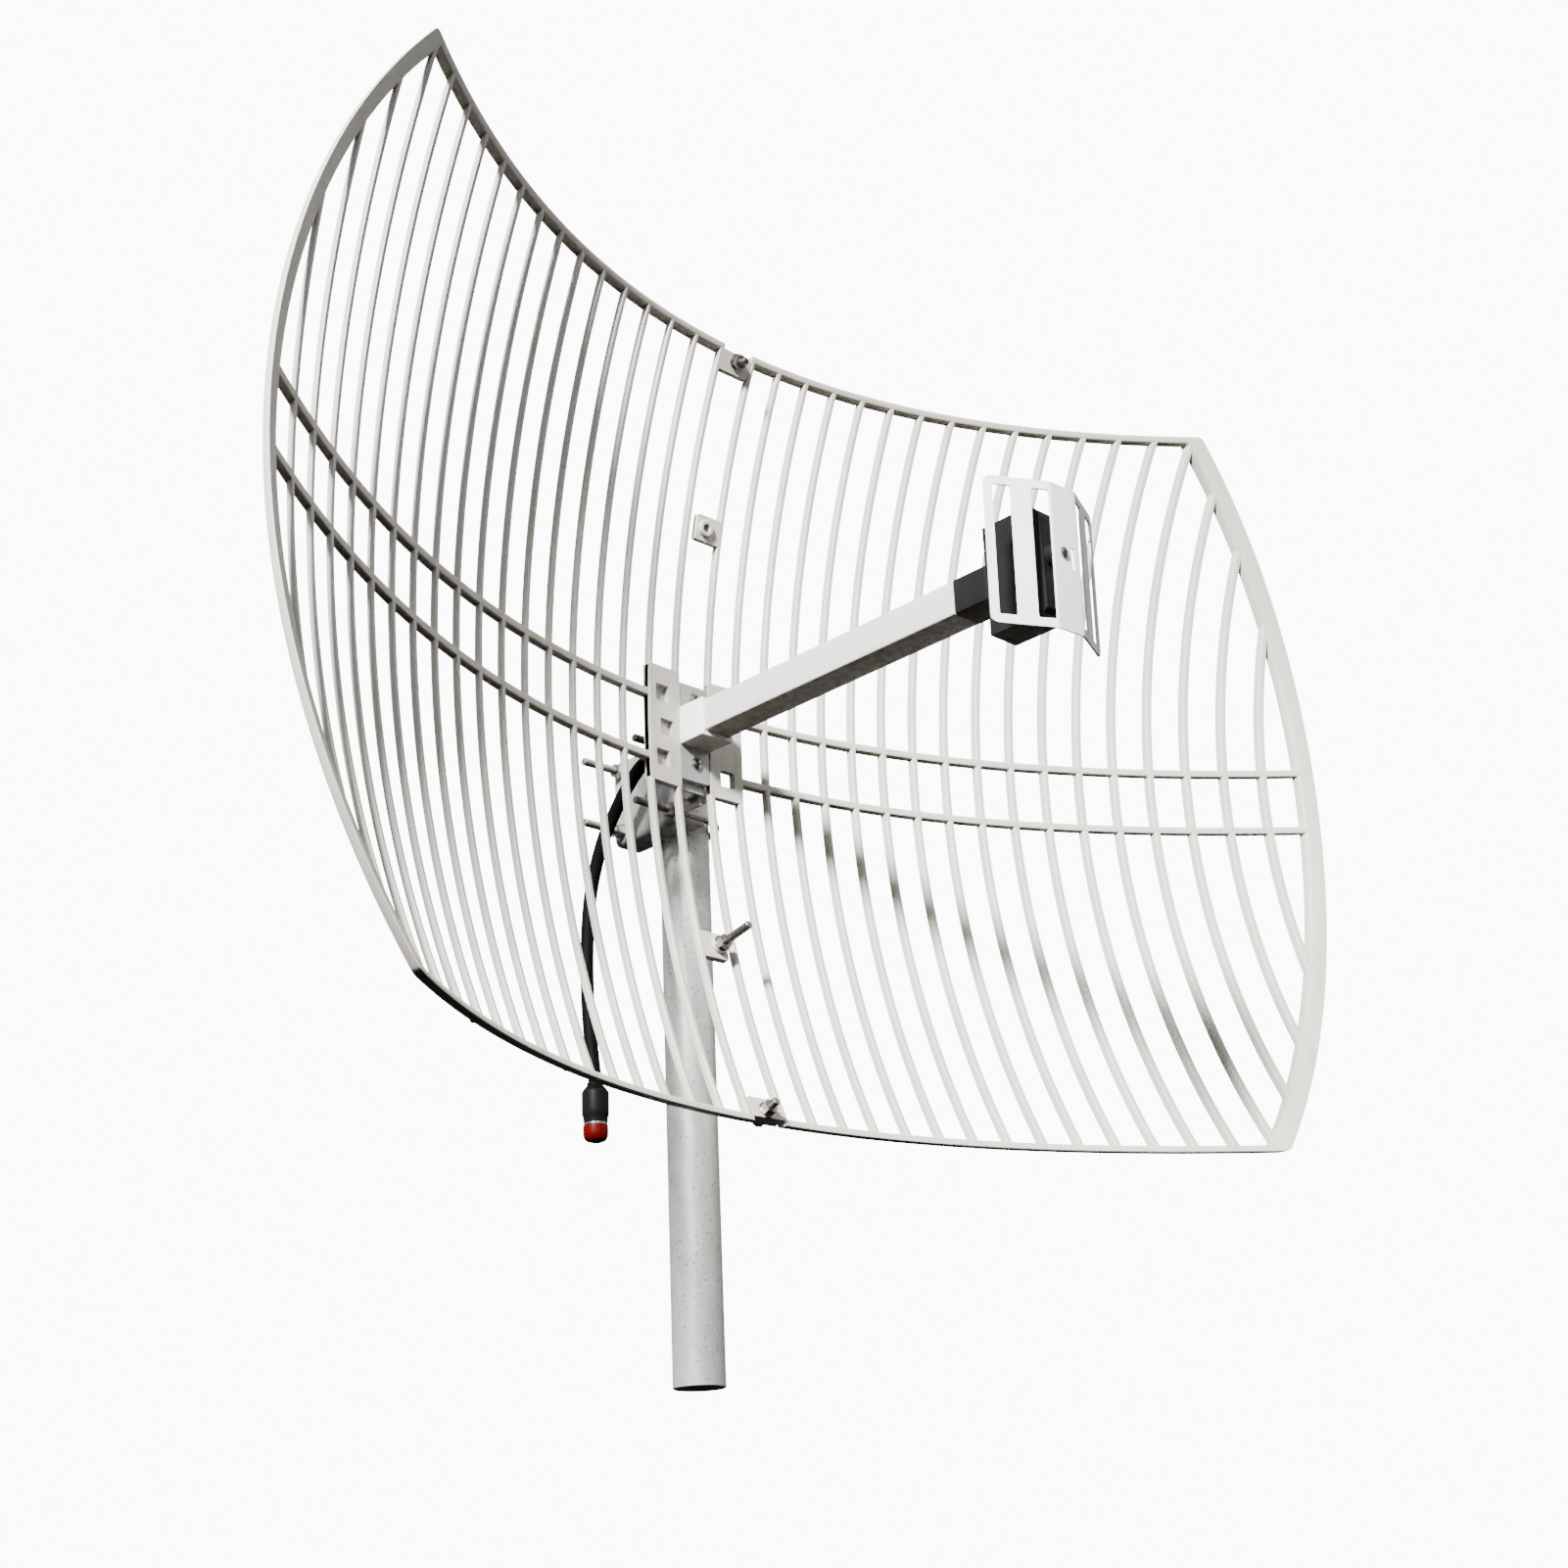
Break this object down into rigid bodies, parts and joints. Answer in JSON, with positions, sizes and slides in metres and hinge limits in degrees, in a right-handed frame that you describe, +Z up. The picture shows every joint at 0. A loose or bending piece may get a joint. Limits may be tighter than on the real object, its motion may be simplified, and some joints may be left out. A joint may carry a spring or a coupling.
{
  "type": "grid parabolic antenna",
  "caption": "Curved rectangular grid dish in cast halves with a square feed arm, a small folded sub-reflector, a cable and a tilting clamp on a round mast.",
  "frame": {"origin": "centre of the foot of the mast pipe", "axes": "+Z up along the mast, -Y the way the dish looks, +X to the right seen from in front"},
  "size_m": [0.99, 0.4842, 0.764],
  "materials": {
    "galvanised": "hot-dip galvanised, dull spangle",
    "bracket_steel": "galvanised sheet",
    "fasteners": "zinc plated",
    "casting": "off-white powder coat on a die casting",
    "arm_aluminium": "satin extrusion",
    "black_plastic": "moulded, fine grain",
    "dipole_brass": "bare",
    "sub_sheet": "white painted sheet",
    "cable_jacket": "smooth jacket",
    "boot_rubber": "matt",
    "red_cap": "soft moulded cap"
  },
  "bodies": {
    "mast": {"mast_pipe": "galvanised"},
    "clamp": {"mast_bracket": "bracket_steel", "u_bolts": "fasteners", "u_bolt_nuts": "fasteners", "u_bolt_washers": "fasteners", "pivot_bolt": "fasteners", "lock_bolt": "fasteners", "tilt_nuts": "fasteners", "tilt_washers": "fasteners"},
    "dish": {"tilt_bracket": "bracket_steel", "reflector_left": "casting", "reflector_right": "casting", "lug_bolts": "fasteners", "lug_nuts": "fasteners", "lug_washers": "fasteners", "hub_screws": "fasteners", "feed_base": "casting", "feed_base_screws": "fasteners", "feed_base_nuts": "fasteners", "feed_arm": "arm_aluminium", "feed_coax": "cable_jacket", "feed_sleeve": "black_plastic", "feed_housing": "black_plastic", "feed_dipole": "dipole_brass", "sub_reflector": "sub_sheet", "sub_reflector_screw": "fasteners", "cable_gland": "black_plastic", "cable": "cable_jacket", "connector_boot": "boot_rubber", "connector_body": "black_plastic", "dust_cap": "red_cap"}
  },
  "joints": [
    {"name": "azimuth", "type": "hinge", "parent": "mast", "child": "clamp", "pos_m": [0, 0, 0.444], "axis": [0, 0, 1], "range_deg": [-170, 170]},
    {"name": "tilt", "type": "hinge", "parent": "clamp", "child": "dish", "pos_m": [-0.038, -0.056, 0.469], "axis": [-1, 0, 0], "range_deg": [-3, 10]}
  ]
}
